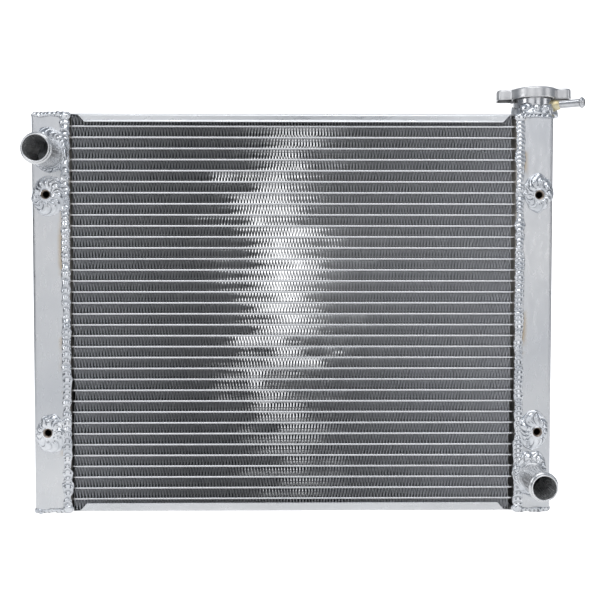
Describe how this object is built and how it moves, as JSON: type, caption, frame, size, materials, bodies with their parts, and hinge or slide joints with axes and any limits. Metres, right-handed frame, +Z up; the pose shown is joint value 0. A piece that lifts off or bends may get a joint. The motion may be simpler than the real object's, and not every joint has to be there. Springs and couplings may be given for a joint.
{
  "type": "car radiator",
  "caption": "All-aluminium cross-flow car radiator: tube-and-fin core between two welded side tanks, front inlet and outlet pipes, threaded mounting bosses, filler neck with pressure cap.",
  "frame": {"origin": "centre of the rectangle of the four mounting holes, on the tanks' front face", "axes": "+X right along the core, seen from the front; +Y to the rear; +Z up"},
  "size_m": [0.5104, 0.0942, 0.3962],
  "materials": {
    "tank_sheet": "satin mill-finish aluminium sheet",
    "header_plate": "mill-finish aluminium plate",
    "weld_bead": "bright rippled weld metal",
    "tube_strip": "bright brazed tube strip",
    "fin_foil": "thin rolled foil",
    "side_sheet": "satin mill-finish aluminium sheet",
    "pipe_alloy": "drawn and machined aluminium tube",
    "boss_alloy": "machined aluminium, heat-tinted by welding",
    "neck_alloy": "spun aluminium",
    "braze_alloy": "yellow braze fillet",
    "cap_steel": "polished stainless steel",
    "inner_steel": "pressed stainless steel",
    "spring_steel": "spring wire",
    "seal_rubber": "moulded rubber"
  },
  "bodies": {
    "radiator": {"left_tank_shell": "tank_sheet", "left_tank_top_plate": "tank_sheet", "left_tank_bottom_plate": "tank_sheet", "left_header": "header_plate", "left_top_end_weld": "weld_bead", "left_bottom_end_weld": "weld_bead", "left_front_seam_weld": "weld_bead", "left_rear_seam_weld": "weld_bead", "right_tank_shell": "tank_sheet", "right_tank_top_plate": "tank_sheet", "right_tank_bottom_plate": "tank_sheet", "right_header": "header_plate", "right_top_end_weld": "weld_bead", "right_bottom_end_weld": "weld_bead", "right_front_seam_weld": "weld_bead", "right_rear_seam_weld": "weld_bead", "core_tubes": "tube_strip", "core_fins": "fin_foil", "top_side_plate": "side_sheet", "bottom_side_plate": "side_sheet", "inlet_pipe": "pipe_alloy", "outlet_pipe": "pipe_alloy", "inlet_weld": "weld_bead", "outlet_weld": "weld_bead", "mounting_bosses": "boss_alloy", "boss_welds": "weld_bead", "filler_neck": "neck_alloy", "overflow_nipple": "neck_alloy", "nipple_braze": "braze_alloy", "neck_weld": "weld_bead"},
    "cap": {"cap_shell": "cap_steel", "cap_rivet": "cap_steel", "cap_gasket": "seal_rubber", "cap_spring_disc": "inner_steel", "cap_bell": "inner_steel", "cap_pressure_spring": "spring_steel"},
    "pressure_valve": {"cap_pressure_plate": "inner_steel", "cap_pressure_seal": "seal_rubber", "cap_vacuum_spring": "spring_steel"},
    "vacuum_valve": {"cap_vacuum_valve": "inner_steel"}
  },
  "joints": [
    {"name": "cap_turn", "type": "hinge", "parent": "radiator", "child": "cap", "pos_m": [0.2265, 0.021, 0.185], "axis": [0, 0, 1], "range_deg": [0, 90]},
    {"name": "pressure_lift", "type": "slide", "parent": "cap", "child": "pressure_valve", "axis": [0, 0, 1], "range_m": [0, 0.003], "stiffness_N_per_m": 8000, "deforming": ["cap_pressure_spring"]},
    {"name": "vacuum_drop", "type": "slide", "parent": "pressure_valve", "child": "vacuum_valve", "axis": [0, 0, -1], "range_m": [0, 0.0015], "stiffness_N_per_m": 200, "deforming": ["cap_vacuum_spring"]}
  ]
}
